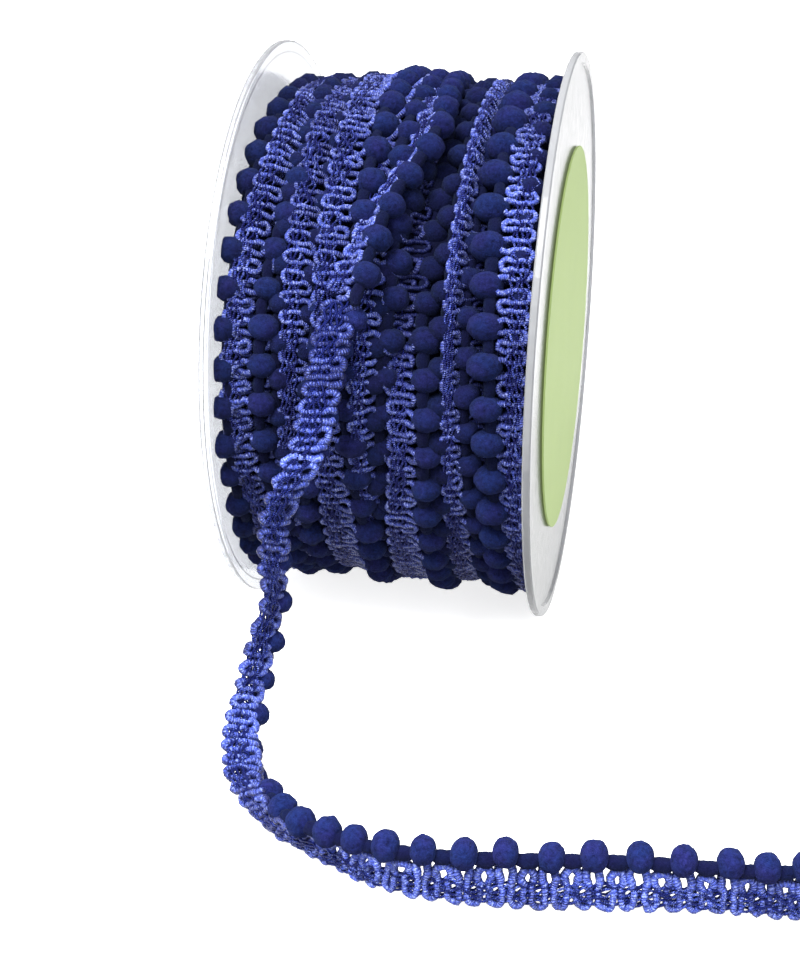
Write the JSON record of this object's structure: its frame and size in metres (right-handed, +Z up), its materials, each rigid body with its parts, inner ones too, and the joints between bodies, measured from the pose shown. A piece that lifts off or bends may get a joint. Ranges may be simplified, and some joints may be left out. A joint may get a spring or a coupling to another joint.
{
  "type": "pompom trim on spool",
  "caption": "Narrow braid edged with small pompoms, wound on a clear plastic spool with a round paper label, its loose end hanging down and running out along the table.",
  "frame": {"origin": "the flat spot at the lowest point of the left flange's rim, where the spool stands", "axes": "+Z up, +X along the spool's axis towards the labelled flange, -Y towards the front, where the loose end comes off"},
  "size_m": [0.1129, 0.1494, 0.0984],
  "materials": {
    "clear_plastic": "clear moulded plastic, polished",
    "label_paper": "sage green paper, smooth",
    "navy_trim": "navy chenille pompoms on a royal blue cord braid with a slight sheen"
  },
  "bodies": {
    "root": {"flange_left": "clear_plastic", "flange_right": "clear_plastic", "hub": "clear_plastic", "label": "label_paper", "winding": "navy_trim", "loose_end": "navy_trim"}
  },
  "joints": []
}
